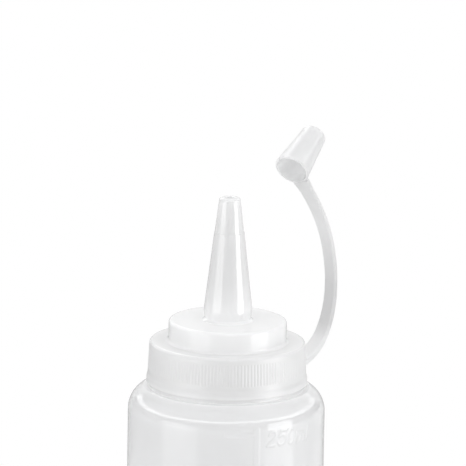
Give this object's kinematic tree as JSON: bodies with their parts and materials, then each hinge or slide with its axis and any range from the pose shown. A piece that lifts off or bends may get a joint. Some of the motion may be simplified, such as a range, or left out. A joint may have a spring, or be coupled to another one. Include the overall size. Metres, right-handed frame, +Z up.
{
  "type": "squeeze bottle",
  "caption": "Soft translucent squeeze bottle for sauces, with a ribbed screw lid, a conical nozzle and a tip cap held on the lid by a strap.",
  "frame": {"origin": "on the bottle's axis, in the plane of the ring it stands on", "axes": "+Z up along the bottle's axis; -Y is the side seen from the front; the strap leaves the lid between +X and +Y"},
  "size_m": [0.0561, 0.0553, 0.1969],
  "materials": {
    "bottle": "frosted translucent, satin",
    "lid": "translucent, softly glossy"
  },
  "bodies": {
    "root": {"bottle": "bottle", "lid": "lid"}
  },
  "joints": []
}
